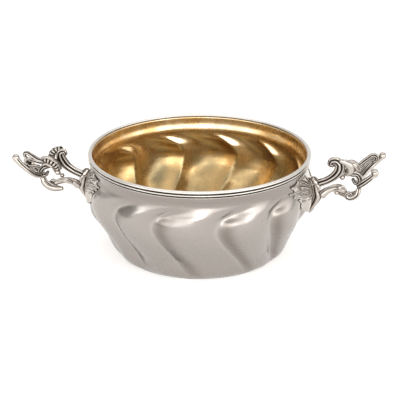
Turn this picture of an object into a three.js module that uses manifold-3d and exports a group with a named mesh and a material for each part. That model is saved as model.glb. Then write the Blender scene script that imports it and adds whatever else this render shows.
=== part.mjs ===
// A round silver serving bowl with twisted lobes, a moulded rim and two cast leaf handles.
// Millimetres, +Z up. The origin is the centre of the base, and the handles lie along X.
import * as THREE from "three";
import { mergeVertices } from "three/addons/utils/BufferGeometryUtils.js";
import Module from "manifold-3d";

const wasm = await Module();
wasm.setup();

// Driving dimensions: the raised bowl.
const HEIGHT = 83.8;
const RIM_DIAMETER = 180;
const WALL = 1.2;
const BASE_RADIUS = 65;
const FOOT_RING = 12;
const BASE_HOLLOW = 1;
const GAP = 0.35;

// Driving dimensions: the rim moulding, and the sheet that stands up inside it.
const MOULDING_DEPTH = 5.9;
const MOULDING_WIDTH = 2.3;
const LIP_THICKNESS = 1.8;
const COLLAR_SHOWING = 0.4;

// Driving dimensions: how far the belly and the waist stand out from and in from the collar.
const BELLY_SWELL = 3.7;
const WAIST_HOLLOW = 1.5;
const BELLY_SHARE = 0.684;

const RIM_RADIUS = RIM_DIAMETER / 2;
const SHEET_TOP = HEIGHT - LIP_THICKNESS;
const COLLAR_HEIGHT = HEIGHT - MOULDING_DEPTH - COLLAR_SHOWING;
const COLLAR_RADIUS = RIM_RADIUS - MOULDING_WIDTH;
const BELLY_RADIUS = COLLAR_RADIUS + BELLY_SWELL;
const WAIST_RADIUS = COLLAR_RADIUS - WAIST_HOLLOW;

// The side is drawn on shares of the height up to the collar, and of the swelling to the belly.
const up = (share) => share * COLLAR_HEIGHT;
const side = (share) => BASE_RADIUS + share * (BELLY_RADIUS - BASE_RADIUS);
const BELLY_HEIGHT = up(BELLY_SHARE);

// Crest of the outside wall as [height, radius]: round base edge, belly, waist, collar.
const WALL_CREST = [
  [0, BASE_RADIUS], [up(0.039), side(0.16)], [up(0.103), side(0.29)], [up(0.206), side(0.43)],
  [up(0.335), side(0.645)], [up(0.465), side(0.857)], [up(0.594), side(0.985)],
  [BELLY_HEIGHT, BELLY_RADIUS], [up(0.774), side(0.947)], [up(0.852), side(0.848)],
  [up(0.916), WAIST_RADIUS], [up(0.968), (WAIST_RADIUS + 3 * COLLAR_RADIUS) / 4],
  [COLLAR_HEIGHT, COLLAR_RADIUS],
];

// Driving dimensions: the twisted lobes.
const LOBES = 12;
const LOBE_DEPTH = 4.6;
const LOBE_EDGE = up(0.039);
const LOBE_FOOT = up(0.232);
const LOBE_SHOULDER = up(0.723);
const LOBE_END = up(0.877);
const EDGE_DEPTH_SHARE = 0.4;
const CREASE_ROUNDING = 0.16;
const CREASE_AT_BELLY = 14.6;
const CREASE_TURN = up(0.619);
const CREASE_HOOK = up(0.219);
const CREASE_SWEEP_DOWN = 16.5;
const CREASE_HOOK_UP = 10;
const LOBE_COLUMNS = [0, 0.07, 0.18, 0.34, 0.5, 0.66, 0.82, 0.93];
const WALL_ROWS = [
  0, 0.039, 0.116, 0.219, 0.335, 0.452, 0.555, 0.645, 0.723, 0.787, 0.839, 0.89, 0.929, 0.974,
];

// Driving dimensions: the applied leaf plates and the seat of the cast handles.
const PLATE_SEAT = 0.6;
const PLATE_THICKNESS = 1.2;
const PLATE_RELIEF = 0.8;
const PLATE_EDGE = 0.4;
const HANDLE_SEAT = PLATE_SEAT + PLATE_THICKNESS + GAP;

const SILVER = { color: 0xb4aeaa, roughness: 0.16, metalness: 1 };
const CAST_SILVER = { color: 0xaaa49f, roughness: 0.22, metalness: 1 };
const GILT = { color: 0xc59a4e, roughness: 0.2, metalness: 1 };

const radians = (degrees) => (degrees * Math.PI) / 180;
const polar = (radius, angle, z) => new THREE.Vector3(radius * Math.cos(angle), radius * Math.sin(angle), z);

// Value of a smooth curve through [x, y] points.
function along(points, x) {
  const last = points.length - 1;
  if (x <= points[0][0]) return points[0][1];
  if (x >= points[last][0]) return points[last][1];
  const i = points.findIndex((point) => point[0] > x) - 1;
  const slope = (k) => {
    const before = points[Math.max(k - 1, 0)];
    const after = points[Math.min(k + 1, last)];
    return (after[1] - before[1]) / (after[0] - before[0]);
  };
  const span = points[i + 1][0] - points[i][0];
  const t = (x - points[i][0]) / span;
  const rise = points[i][1] * (2 * t ** 3 - 3 * t ** 2 + 1) + points[i + 1][1] * (3 * t ** 2 - 2 * t ** 3);
  return rise + span * (slope(i) * (t ** 3 - 2 * t ** 2 + t) + slope(i + 1) * (t ** 3 - t ** 2));
}

// Values given at equal steps along a piece, read at t from 0 to 1.
const graded = (values, t) => along(values.map((value, i) => [i / (values.length - 1), value]), t);

// A closed skin over rings of points. A ring of one point is a pole, and flat rings close up.
function skin(rings, closedLoop = false) {
  const positions = [];
  const starts = rings.map((ring) => {
    const start = positions.length / 3;
    ring.forEach((point) => positions.push(point.x, point.y, point.z));
    return start;
  });
  const index = [];
  const pairs = closedLoop ? rings.length : rings.length - 1;
  for (let i = 0; i < pairs; i++) {
    const j = (i + 1) % rings.length;
    const count = Math.max(rings[i].length, rings[j].length);
    for (let k = 0; k < count; k++) {
      const next = (k + 1) % count;
      const [a, b] = rings[i].length === 1 ? [starts[i], starts[i]] : [starts[i] + k, starts[i] + next];
      const [c, d] = rings[j].length === 1 ? [starts[j], starts[j]] : [starts[j] + k, starts[j] + next];
      if (a !== b) index.push(a, b, d);
      if (c !== d) index.push(a, d, c);
    }
  }
  const loose = new THREE.BufferGeometry();
  loose.setAttribute("position", new THREE.Float32BufferAttribute(positions, 3));
  loose.setIndex(index);
  const geometry = mergeVertices(loose, 1e-3);
  const corners = geometry.index.array;
  const kept = [];
  for (let i = 0; i < corners.length; i += 3) {
    const [a, b, c] = corners.slice(i, i + 3);
    if (a !== b && b !== c && c !== a) kept.push(a, b, c);
  }
  geometry.setIndex(kept);
  return facingOut(geometry);
}

// Turns the faces round when the skin encloses a negative volume.
function facingOut(geometry) {
  const position = geometry.attributes.position;
  const index = geometry.index.array;
  const corner = (i) => new THREE.Vector3().fromBufferAttribute(position, index[i]);
  let volume = 0;
  for (let i = 0; i < index.length; i += 3) {
    volume += corner(i).dot(corner(i + 1).cross(corner(i + 2)));
  }
  if (volume < 0) {
    for (let i = 0; i < index.length; i += 3) [index[i], index[i + 1]] = [index[i + 1], index[i]];
  }
  return geometry;
}

function toSolid(geometry) {
  const bare = geometry.clone();
  bare.deleteAttribute("normal");
  bare.deleteAttribute("uv");
  const merged = mergeVertices(bare, 1e-4);
  const vertProperties = new Float32Array(merged.attributes.position.array);
  const triVerts = new Uint32Array(merged.index.array);
  return new wasm.Manifold(new wasm.Mesh({ numProp: 3, vertProperties, triVerts }));
}

function toGeometry(solid) {
  const mesh = solid.getMesh();
  const geometry = new THREE.BufferGeometry();
  geometry.setAttribute("position", new THREE.BufferAttribute(new Float32Array(mesh.vertProperties), 3));
  geometry.setIndex(new THREE.BufferAttribute(new Uint32Array(mesh.triVerts), 1));
  return geometry;
}

// A piece made of overlapping shapes, seated against its neighbours.
function joinAndSeat(shapes, neighbours = []) {
  const joined = shapes.map(toSolid).reduce((whole, shape) => whole.add(shape));
  const seated = neighbours.map(toSolid).reduce((rest, cutter) => rest.subtract(cutter), joined);
  const bodies = seated.decompose().sort((a, b) => b.volume() - a.volume());
  return toGeometry(bodies[0]);
}

// Angle of a crease between two lobes: it sweeps along the wall and hooks over at its head.
function creaseAngle(z) {
  const below = Math.max(0, (CREASE_TURN - z) / CREASE_TURN);
  const above = Math.max(0, Math.min(z, LOBE_END) - CREASE_TURN) / CREASE_HOOK;
  return CREASE_AT_BELLY + CREASE_SWEEP_DOWN * below ** 1.3 + CREASE_HOOK_UP * above ** 2.2;
}

// How deep the creases are at a height: shallow at the base edge, gone on the neck.
function lobeDepth(z) {
  const foot = [[0, 0], [LOBE_EDGE, EDGE_DEPTH_SHARE], [LOBE_FOOT, 1]];
  const head = THREE.MathUtils.smoothstep(z, LOBE_SHOULDER, LOBE_END);
  return LOBE_DEPTH * along(foot, z) * (1 - head);
}

// Radius of the outside wall: share runs from 0 at one crease to 1 at the next.
function wallRadius(z, share) {
  const fromCrease = 1 - Math.abs(2 * share - 1);
  const softened = Math.hypot(fromCrease, CREASE_ROUNDING) - CREASE_ROUNDING;
  const full = Math.hypot(1, CREASE_ROUNDING) - CREASE_ROUNDING;
  const swell = 2 * (softened / full) - (softened / full) ** 2;
  return along(WALL_CREST, z) - lobeDepth(z) * (1 - swell);
}

// One ring of wall points whose columns follow the twist of the creases.
function wallRing(z, inset, height = z) {
  const ring = [];
  for (let lobe = 0; lobe < LOBES; lobe++) {
    for (const share of LOBE_COLUMNS) {
      const angle = radians(creaseAngle(z) + ((lobe + share) * 360) / LOBES);
      ring.push(polar(wallRadius(z, share) - inset, angle, height));
    }
  }
  return ring;
}

const circleRing = (radius, z) => wallRing(0, BASE_RADIUS - radius, z);

function bowlBody() {
  const sheetInset = (z) => {
    const [low, high] = [Math.max(z - 0.5, 0), z + 0.5];
    const lean = (along(WALL_CREST, high) - along(WALL_CREST, low)) / (high - low);
    return WALL * Math.hypot(1, lean);
  };
  const outside = WALL_ROWS.map(up);
  const inside = outside.slice(2).reverse();
  const ringInside = BASE_RADIUS - FOOT_RING;
  const fillet = 2 * BASE_HOLLOW;
  const rings = [
    [new THREE.Vector3(0, 0, BASE_HOLLOW)],
    circleRing(ringInside / 2, BASE_HOLLOW),
    circleRing(ringInside - fillet, BASE_HOLLOW),
    circleRing(ringInside, 0),
    ...outside.map((z) => wallRing(z, 0)),
    wallRing(COLLAR_HEIGHT, 0, SHEET_TOP),
    wallRing(COLLAR_HEIGHT, WALL, SHEET_TOP),
    ...inside.map((z) => wallRing(z, sheetInset(z))),
    circleRing(BASE_RADIUS - WALL, WALL),
    circleRing(ringInside, WALL),
    circleRing(ringInside - 2 * fillet, WALL + BASE_HOLLOW),
    [new THREE.Vector3(0, 0, WALL + BASE_HOLLOW)],
  ];
  return skin(rings);
}

// Section of the rim wire as [radius, height]: rounded lip over the sheet, groove, bead, fillet.
function rimMoulding() {
  const sheet = COLLAR_RADIUS + GAP;
  const lip = COLLAR_RADIUS - WALL;
  const foot = HEIGHT - MOULDING_DEPTH;
  const bead = foot + MOULDING_DEPTH / 3;
  const [deep, shallow] = [MOULDING_WIDTH * 0.4, MOULDING_WIDTH * 0.2];
  const section = [
    [sheet, foot], [sheet, SHEET_TOP + GAP], [lip, SHEET_TOP + GAP], [lip + 0.5, HEIGHT - 0.4],
    [RIM_RADIUS - 2, HEIGHT], [RIM_RADIUS - 0.7, HEIGHT - 0.4], [RIM_RADIUS, HEIGHT - 1.5],
    [RIM_RADIUS - deep, bead + 1.3], [RIM_RADIUS, bead + 0.7], [RIM_RADIUS, bead],
    [RIM_RADIUS - deep, bead - 0.6], [RIM_RADIUS - shallow, bead - 1.2], [RIM_RADIUS - 0.7, foot],
  ];
  const turns = 72;
  const rings = Array.from({ length: turns }, (_, k) =>
    section.map(([radius, z]) => polar(radius, (k * 2 * Math.PI) / turns, z)));
  return skin(rings, true);
}

// Outline of a leaf plate as [height, half angle], from its hanging tip to its top under the rim.
// Its rows above the tip are rows of the wall, so that it lies on the wall all along.
const PLATE_ANGLES = [21, 25, 28, 33, 34, 31, 27, 21];
const PLATE_OUTLINE = [
  [up(0.477), 9], ...WALL_ROWS.slice(-PLATE_ANGLES.length).map((share, i) => [up(share), PLATE_ANGLES[i]]),
];

// Thickness of the leaf plate: thin at the edge, flat under the handle, veined beside it.
function plateThickness(z, across) {
  const edge = 1 - Math.abs(across) ** 4 * 0.5;
  const beside = THREE.MathUtils.smoothstep(Math.abs(across), 0.28, 0.5);
  const veins = Math.cos((Math.abs(across) * 2.6 + z / 15) * 2 * Math.PI);
  return PLATE_THICKNESS * edge + PLATE_RELIEF * beside * (0.5 + 0.5 * veins) * edge;
}

function leafPlate() {
  const columns = 12;
  const row = (z, lift, height = z) => Array.from({ length: columns + 1 }, (_, k) => {
    const across = (2 * k) / columns - 1;
    const angle = radians(across * along(PLATE_OUTLINE, z));
    const radius = along(WALL_CREST, z) + PLATE_SEAT + lift * plateThickness(z, across);
    return polar(radius, angle, height);
  });
  const ring = (z) => [...row(z, 1), ...row(z, 0).reverse()];
  const edge = (z, offset) => [...row(z, 0.5, z + offset), ...row(z, 0.5, z + offset).reverse()];
  const heights = PLATE_OUTLINE.map((point) => point[0]);
  const top = heights[heights.length - 1];
  return skin([edge(heights[0], -PLATE_EDGE), ...heights.map(ring), edge(top, PLATE_EDGE)]);
}

// Place of a handle point given as [out from the belly, to the side, above the belly].
const fromBelly = ([out, aside, above]) =>
  new THREE.Vector3(BELLY_RADIUS + out, aside, BELLY_HEIGHT + above);

// A tapering cast stem. The path's points are places from the belly, wide and deep are half
// sizes along it, wide is measured along the face direction, and grow makes a fatter copy.
function stem(shape, grow = 0) {
  const { path, wide, deep, face = [0, 1, 0], steps = 12, flutes = 0, ribs = 0, points = 12 } = shape;
  const curve = new THREE.CatmullRomCurve3(path.map(fromBelly), false, "centripetal");
  const faceDirection = new THREE.Vector3(...face);
  const ring = (t, share, reach) => {
    const tangent = curve.getTangentAt(t);
    const across = faceDirection.clone().addScaledVector(tangent, -faceDirection.dot(tangent)).normalize();
    const over = tangent.clone().cross(across);
    const swell = 1 + (ribs ? 0.16 * Math.cos(2 * Math.PI * ribs * t) : 0);
    const centre = curve.getPointAt(t).addScaledVector(tangent, reach);
    return Array.from({ length: points }, (_, k) => {
      const turn = (2 * Math.PI * k) / points;
      const flute = 1 - (flutes ? flutes * (k % 2) : 0);
      const a = (graded(wide, t) * swell * flute + grow) * share;
      const b = (graded(deep, t) * swell * flute + grow) * share;
      return centre.clone()
        .addScaledVector(across, a * Math.cos(turn))
        .addScaledVector(over, b * Math.sin(turn));
    });
  };
  const rings = Array.from({ length: steps + 1 }, (_, k) => ring(k / steps, 1, 0));
  const cap = (t, sign) => {
    const size = Math.min(graded(wide, t), graded(deep, t)) + grow;
    const tip = curve.getPointAt(t).addScaledVector(curve.getTangentAt(t), sign * size * 0.8);
    return { shoulder: ring(t, 0.72, sign * size * 0.55), tip: [tip] };
  };
  const start = cap(0, -1);
  const end = cap(1, 1);
  return skin([start.tip, start.shoulder, ...rings, end.shoulder, end.tip]);
}

const bead = (place, radius, grow = 0) =>
  mergeVertices(stripped(new THREE.IcosahedronGeometry(radius + grow, 1))).translate(...fromBelly(place));

function stripped(geometry) {
  geometry.deleteAttribute("normal");
  geometry.deleteAttribute("uv");
  return geometry;
}

// The boss that is soldered to the leaf plate, with the tongue that hangs below the lower arm.
// Levels are [height above the belly, how far it stands off its flat back, half width].
const FOOT_LEVELS = [
  [-18.4, 1.5, 1.2], [-16, 2.5, 2.6], [-12, 3.3, 3.8], [-8, 4.7, 4.6], [-4, 6, 5],
  [0, 4.8, 4.6], [4, 5, 4.2], [7.5, 5.2, 3.8], [10.4, 3, 2.6],
];
const TONGUE_ROOT = -9;
const TONGUE_LEAN = 0.4;
const TIP_ROUNDING = 0.8;

function handleFoot(grow = 0) {
  const back = (above) => HANDLE_SEAT + TONGUE_LEAN * Math.min(0, above - TONGUE_ROOT) - grow;
  const rings = FOOT_LEVELS.map(([above, out, half]) => {
    const ring = [];
    for (let k = 0; k < 9; k++) {
      const turn = Math.PI * (k / 8 - 0.5);
      const flute = k % 2 ? 0.9 : 1;
      const reach = (out * flute + 2 * grow) * Math.cos(turn);
      ring.push(fromBelly([back(above) + reach, (half + grow) * Math.sin(turn), above]));
    }
    ring.push(fromBelly([back(above), half / 3, above]), fromBelly([back(above), -half / 3, above]));
    return ring;
  });
  const pole = ([above, out], sign) =>
    [fromBelly([back(above) + out / 2, 0, above + sign * (TIP_ROUNDING + grow)])];
  return skin([pole(FOOT_LEVELS[0], -1), ...rings, pole(FOOT_LEVELS[FOOT_LEVELS.length - 1], 1)]);
}

// The upper arm rises from the foot and curls back on itself in a volute.
const UPPER_ARM = {
  path: [
    [6.8, -0.2, 6.8], [13, -0.5, 9.6], [18.4, -0.6, 13.6], [21.6, -0.3, 18.4], [21.8, 0.2, 23],
    [18.6, 0.8, 26.3], [14.9, 1, 25.2], [14.5, 1.2, 22.4], [16.6, 1.4, 21.6],
  ],
  wide: [2.5, 2.4, 2.3, 2.3, 2.3, 2.1, 1.7, 1.3], deep: [3, 3, 3.1, 3, 2.6, 2.1, 1.5, 1.1],
  steps: 15, flutes: 0.14, points: 12,
};

// The lower arm leaves the foot above the tongue and ends in two small curls.
const LOWER_ARM = {
  path: [[8, -0.6, -3.4], [11.6, 0.6, -0.4], [16, 1.8, 1.2], [20.6, 2.8, 1.4], [26.4, 2.7, -0.8]],
  wide: [3, 2.6, 2.1, 2, 1.8], deep: [3.4, 2.9, 2.2, 2, 1.8], steps: 8, points: 10,
};
const LOWER_ARM_BEADS = [[[22.4, 3.2, 3.6], 1.9], [[21.6, 2.8, -1], 1.9]];

// Two ribbed bands of the shell crest: one in front of the volute, one round the back of it.
const CREST_FRONT = {
  path: [[35.2, 8, 16], [33.6, 8, 19.4], [30.2, 7.4, 20.8], [26, 6.4, 18.2], [23.6, 5.4, 13.4]],
  wide: [2.2, 2.8, 3.6, 3.6, 3], deep: [2, 2.8, 3.1, 2.9, 2.1], steps: 14, ribs: 7, points: 10,
};
const CREST_FRONT_BEAD = [[23.6, 6.4, 10.4], 2.4];
const CREST_BACK = {
  path: [[22.2, -2.6, 27.2], [26.6, -2.6, 25.6], [29.6, -2.4, 22.4], [30, -1.8, 18.4], [27.8, -0.6, 15.2]],
  wide: [1.8, 2.2, 2.6, 2.4, 2], deep: [1.8, 2.6, 2.9, 2.9, 2.2], steps: 14, ribs: 7, points: 10,
};

// The stem of the fork, curled once, where the crest, the grips and the lower leaf meet.
const FORK_SCROLL = {
  path: [
    [28, 1.6, 15], [31.4, 2.8, 14.2], [35.4, 4.6, 13.4], [37.6, 5, 10.2], [37, 3.8, 6.8],
    [34.2, 3.6, 6.6], [32.4, 4.6, 9],
  ],
  wide: [2, 2.6, 3.2, 3.4, 2.8, 2, 1.6], deep: [1.8, 2, 2.2, 2.3, 2, 1.6, 1.3], steps: 14, points: 10,
};

// The grip is one leaf with two lobes: the long one ends in a roll, the upper one in a hook.
const GRIP_LEAF = {
  path: [[38, 9.6, 7.6], [41.4, 13.4, 10.2], [45.6, 16.4, 14.4], [50.6, 17.9, 19.4], [55.4, 17.8, 24.8]],
  wide: [2.4, 3.4, 3.2, 2.8, 2.4], deep: [1.8, 2.2, 2, 1.9, 1.9], steps: 9, flutes: 0.16, points: 10,
};
const GRIP_TIP = [[56.8, 17.5, 26.5], 2.6];
const GRIP_WEB = {
  path: [[36.2, 10, 12.6], [40.2, 12.8, 16.4], [44.6, 14.6, 20.6]],
  wide: [3.6, 5, 3.4], deep: [1.1, 1.1, 0.8], face: [-0.22, -0.44, 0.87], steps: 4, points: 8,
};
const UPPER_LEAF = {
  path: [
    [36.2, 9.6, 18.4], [39.4, 11.2, 21], [43.6, 12, 24.4], [47.6, 12.5, 27.2], [50.2, 12.6, 26.4],
    [50, 12.3, 23.6],
  ],
  wide: [2.4, 3, 3, 2.6, 2.1, 1.6], deep: [2, 2.4, 2.3, 2.1, 1.8, 1.4], steps: 10, flutes: 0.12, points: 10,
};

// The straight stem under the grip, ending in a bud.
const BUD_STEM = {
  path: [[37.4, 1.4, 5], [41.4, 0.4, 8.2], [45, 0.1, 11.2], [48, 0.3, 14]],
  wide: [2.4, 2.4, 2.1, 1.8], deep: [2, 1.9, 1.7, 1.5], steps: 5, flutes: 0.1, points: 10,
};
const BUD = [[49.8, 0.5, 16], 2.8];
const BUD_CURL = [[47.2, 1.2, 17.4], 1.6];

// The ribbed leaf that folds back under the grip toward the bowl.
const LOWER_LEAF = {
  path: [[37.6, 0.8, 2], [36.2, 1, -1], [32.6, 1.6, -3.4], [27.2, 2.2, -5], [21.2, 2.6, -5.2]],
  wide: [2.6, 3.6, 3.8, 3.2, 1.6], deep: [1.6, 2.1, 2.2, 1.8, 1.2], steps: 12, ribs: 6, points: 10,
};

// Pieces of one handle, each seated with a small gap against those made before it.
function handlePieces() {
  const foot = handleFoot();
  const aroundFoot = handleFoot(GAP);
  const upperArm = joinAndSeat([stem(UPPER_ARM)], [aroundFoot]);
  const aroundUpperArm = stem(UPPER_ARM, GAP);
  const lowerArm = joinAndSeat(
    [stem(LOWER_ARM), ...LOWER_ARM_BEADS.map((ball) => bead(...ball))], [aroundFoot]);
  const aroundLowerArm = [stem(LOWER_ARM, GAP), ...LOWER_ARM_BEADS.map((ball) => bead(...ball, GAP))];
  const crestFront = joinAndSeat([stem(CREST_FRONT), bead(...CREST_FRONT_BEAD)], [aroundUpperArm]);
  const aroundCrestFront = [stem(CREST_FRONT, GAP), bead(...CREST_FRONT_BEAD, GAP)];
  const crestBack = joinAndSeat([stem(CREST_BACK)], [aroundUpperArm, ...aroundCrestFront]);
  const aroundCrestBack = stem(CREST_BACK, GAP);
  const fork = joinAndSeat([stem(FORK_SCROLL)], [aroundUpperArm, ...aroundCrestFront, aroundCrestBack]);
  const aroundFork = stem(FORK_SCROLL, GAP);
  const gripShapes = (grow) => [stem(GRIP_LEAF, grow), bead(...GRIP_TIP, grow), stem(GRIP_WEB, grow)];
  const grip = joinAndSeat(gripShapes(0), [aroundFork, ...aroundCrestFront]);
  const upperLeaf = joinAndSeat([stem(UPPER_LEAF)], [...gripShapes(GAP), ...aroundCrestFront]);
  const bud = joinAndSeat([stem(BUD_STEM), bead(...BUD), bead(...BUD_CURL)], [aroundFork]);
  const aroundBud = stem(BUD_STEM, GAP);
  const leaf = joinAndSeat([stem(LOWER_LEAF)], [...aroundLowerArm, aroundFork, aroundBud]);
  return {
    handle_foot: foot, upper_arm: upperArm, lower_arm: lowerArm, crest_front: crestFront,
    crest_back: crestBack, fork_scroll: fork, grip_leaf: grip, upper_leaf: upperLeaf,
    bud_stem: bud, lower_leaf: leaf,
  };
}

function named(name, geometry, finish) {
  geometry.computeVertexNormals();
  const mesh = new THREE.Mesh(geometry, new THREE.MeshStandardMaterial(finish));
  mesh.name = name;
  return mesh;
}

function bowl() {
  const group = new THREE.Group();
  group.name = "lobed_bowl";
  group.add(named("bowl_body", bowlBody(), GILT));
  group.add(named("rim_moulding", rimMoulding(), SILVER));
  const pieces = handlePieces();
  const plate = leafPlate();
  [["right", 0], ["left", Math.PI]].forEach(([side, turn]) => {
    const handle = new THREE.Group();
    handle.name = `handle_${side}`;
    handle.rotation.z = turn;
    handle.add(named(`leaf_plate_${side}`, plate.clone(), CAST_SILVER));
    Object.entries(pieces).forEach(([name, geometry]) => {
      handle.add(named(`${name}_${side}`, geometry.clone(), CAST_SILVER));
    });
    group.add(handle);
  });
  return group;
}

export default bowl();
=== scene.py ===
# %% [markdown]
# # A silver bowl with twisted lobes and two cast handles
# The real bowl is one sheet of silver, raised over stakes with a hammer until its wall swells
# into twelve leaning lobes. A drawn wire is soldered over its edge, the inside is gilded, and
# each side carries a cast leaf plate with a cast handle on it. The frame holds the solids of
# that assembly. Here every one of them is made again with the detail that the eye looks for.

# %% Load the frame
import math
import bpy
import bmesh
from mathutils import Matrix, Vector, noise
from mathutils.bvhtree import BVHTree


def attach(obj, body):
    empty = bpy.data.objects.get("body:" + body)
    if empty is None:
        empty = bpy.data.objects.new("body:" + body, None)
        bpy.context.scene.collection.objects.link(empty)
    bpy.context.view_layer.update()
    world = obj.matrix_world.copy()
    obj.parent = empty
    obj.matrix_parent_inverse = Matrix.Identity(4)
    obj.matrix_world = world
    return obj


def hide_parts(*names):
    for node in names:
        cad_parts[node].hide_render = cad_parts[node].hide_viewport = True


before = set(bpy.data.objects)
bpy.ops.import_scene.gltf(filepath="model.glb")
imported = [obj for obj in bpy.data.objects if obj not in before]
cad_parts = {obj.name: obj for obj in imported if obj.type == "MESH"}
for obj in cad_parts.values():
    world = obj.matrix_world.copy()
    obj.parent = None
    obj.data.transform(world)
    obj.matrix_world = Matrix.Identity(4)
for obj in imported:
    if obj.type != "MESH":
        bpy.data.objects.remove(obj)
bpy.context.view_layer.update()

MM = 0.001

# %% [markdown]
# ## Camera
# The picture was taken from a little to the right of the middle and about 22 degrees above the
# table, from far away, so the bowl hardly tapers. A long lens at 1.3 m gives the same look.

# %% Camera
VIEW_AZIMUTH = math.radians(5.8)
VIEW_ELEVATION = math.radians(22.35)
VIEW_DISTANCE = 1.3
LOOK_AT = Vector((0.000358, 0.000036, 0.0406))

toward_camera = Vector((math.sin(VIEW_AZIMUTH) * math.cos(VIEW_ELEVATION),
                        -math.cos(VIEW_AZIMUTH) * math.cos(VIEW_ELEVATION),
                        math.sin(VIEW_ELEVATION)))
lens = bpy.data.cameras.new("product_camera")
lens.lens = 143.46
lens.sensor_width = 36
camera = bpy.data.objects.new("product_camera", lens)
camera.location = LOOK_AT + toward_camera * VIEW_DISTANCE
camera.rotation_mode = "QUATERNION"
camera.rotation_quaternion = (-toward_camera).to_track_quat("-Z", "Y")
bpy.context.scene.collection.objects.link(camera)
bpy.context.scene.camera = camera
print("camera at", [round(value, 3) for value in camera.location])

# %% [markdown]
# ## A smooth curve through a few measured points
# A silversmith works from a template with a handful of measures. `along` reads such a list
# at any place between its points, so a profile of ten pairs gives a wall without flats.

# %% Reading a template
def along(points, x):
    """Value at x of a smooth curve through (x, y) points in rising order of x."""
    if x <= points[0][0]:
        return points[0][1]
    if x >= points[-1][0]:
        return points[-1][1]
    i = next(k for k, point in enumerate(points) if point[0] > x) - 1

    def slope(k):
        before, after = points[max(k - 1, 0)], points[min(k + 1, len(points) - 1)]
        return (after[1] - before[1]) / (after[0] - before[0])

    span = points[i + 1][0] - points[i][0]
    t = (x - points[i][0]) / span
    rise = points[i][1] * (2 * t**3 - 3 * t**2 + 1) + points[i + 1][1] * (3 * t**2 - 2 * t**3)
    return rise + span * (slope(i) * (t**3 - 2 * t**2 + t) + slope(i + 1) * (t**3 - t**2))


def graded(values, t):
    """Value at t, 0 to 1, of a list given at equal steps."""
    return along([(k / (len(values) - 1), value) for k, value in enumerate(values)], t)


def smooth_step(low, high, x):
    """An S from 0 at low to 1 at high. With low above high it falls as x rises."""
    t = min(max((x - low) / (high - low), 0), 1)
    return t * t * (3 - 2 * t)


print("half way up a 0, 1, 4 template:", graded([0, 1, 4], 0.5))

# %% [markdown]
# ## The wall and its creases
# Every height on the wall has one crest radius. Between two crests the sheet falls into a
# crease that is sharp at its bottom and full toward the lobe. The creases lean as they rise
# and hook over under the neck, which is what makes the bowl look as if it turned.

# %% Wall measures, in millimetres and degrees
WALL = 1.2
WALL_CREST = [(0, 65), (3, 69.2), (8, 72.6), (16, 76.4), (26, 82), (36, 87.6), (46, 91),
              (53, 91.3), (60, 89.7), (66, 87.4), (71, 86.2), (75, 87.3), (77.5, 87.7)]
LOBES = 12
LOBE_DEPTH = 5
CREASE_ROUNDING = 0.11
FIRST_CREASE = 14.6
LEAN, HOOK = 16.5, 10
STEEP_Z, HOOK_END_Z, HOOK_RISE = 48, 68, 17
NECK_LOW, NECK_HIGH = 58, 69


def crease_angle(z):
    """Degrees round the axis of the first crease. It leans up to STEEP_Z and hooks above it."""
    down = max(0, (STEEP_Z - z) / STEEP_Z)
    up = max(0, min(z, HOOK_END_Z) - STEEP_Z) / HOOK_RISE
    return FIRST_CREASE + LEAN * down**1.3 + HOOK * up**2.2


def lobe_depth(z):
    """Depth of the creases: shallow at the base edge, gone on the neck."""
    grown = along([(0, 0), (3, 0.4), (18, 1)], z)
    return LOBE_DEPTH * grown * (1 - smooth_step(NECK_LOW, NECK_HIGH, z))


def crease_share(z, degrees):
    """0 in a crease, 1 on the crest of a lobe, for a place on the wall."""
    share = ((degrees - crease_angle(z)) * LOBES / 360) % 1
    return 1 - abs(2 * share - 1)


def wall_dip(z, share):
    """How far the wall lies inside its crest."""
    soft = math.hypot(share, CREASE_ROUNDING) - CREASE_ROUNDING
    full = soft / (math.hypot(1, CREASE_ROUNDING) - CREASE_ROUNDING)
    return lobe_depth(z) * (1 - full * (2 - full))


print("wall in a crease at the belly:", round(along(WALL_CREST, 50) - wall_dip(50, 0), 2), "mm")

# %% [markdown]
# ## Marks of handwork
# No two lobes of a raised bowl are quite alike. The creases stray by a few degrees at the base
# and at the belly, one lobe stands out further low on the left, and the planishing hammer
# leaves waves a few tenths of a millimetre high. They are small, yet every reflection bends
# on them, so they are made in the sheet and not painted on it.

# %% Straying creases, one fuller lobe and hammer waves
BASE_STRAY = [1, -2, 0, 2, -1, 1, 0, -2, -1.5, 8, 3, -2]
BELLY_STRAY = [0, 1, -1, 0, 1, 0, 0, 1.3, -4, 0, 0, 0]
BELLY_RADIUS, BELLY_Z = 90, 46
FULL_SWELL, FULL_DEGREES, FULL_Z = 4, 192, 31
FULL_WIDTH, FULL_HEIGHT = 10, 9
WAVE_HEIGHT, WAVE_LENGTH = 0.3, 19
STROKE_HEIGHT, STROKE_LENGTH, STROKE_WIDTH = 0.08, 30, 3.4


def stray(number, z):
    """Degrees that one crease strays from its even place, at the base and at the belly."""
    up = smooth_step(0, BELLY_Z, z)
    return BASE_STRAY[number % LOBES] * (1 - up) + BELLY_STRAY[number % LOBES] * up


def fuller(degrees, z):
    """Extra swelling of the one lobe that stands out further."""
    return FULL_SWELL * math.exp(-(((degrees - FULL_DEGREES) / FULL_WIDTH) ** 2)
                                 - ((z - FULL_Z) / FULL_HEIGHT) ** 2)


def hammer_wave(degrees, z):
    """Waves that planishing leaves: broad ones, and narrow ones that run round the wall."""
    place = Matrix.Rotation(math.radians(degrees), 3, "Z") @ Vector((BELLY_RADIUS, 0, z))
    broad = noise.noise(place / WAVE_LENGTH)
    narrow = noise.noise(Vector((place.x / STROKE_LENGTH, place.y / STROKE_LENGTH,
                                 z / STROKE_WIDTH)))
    height = WAVE_HEIGHT * broad + STROKE_HEIGHT * narrow
    return height * smooth_step(0, 10, z) * smooth_step(76, 66, z)


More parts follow.
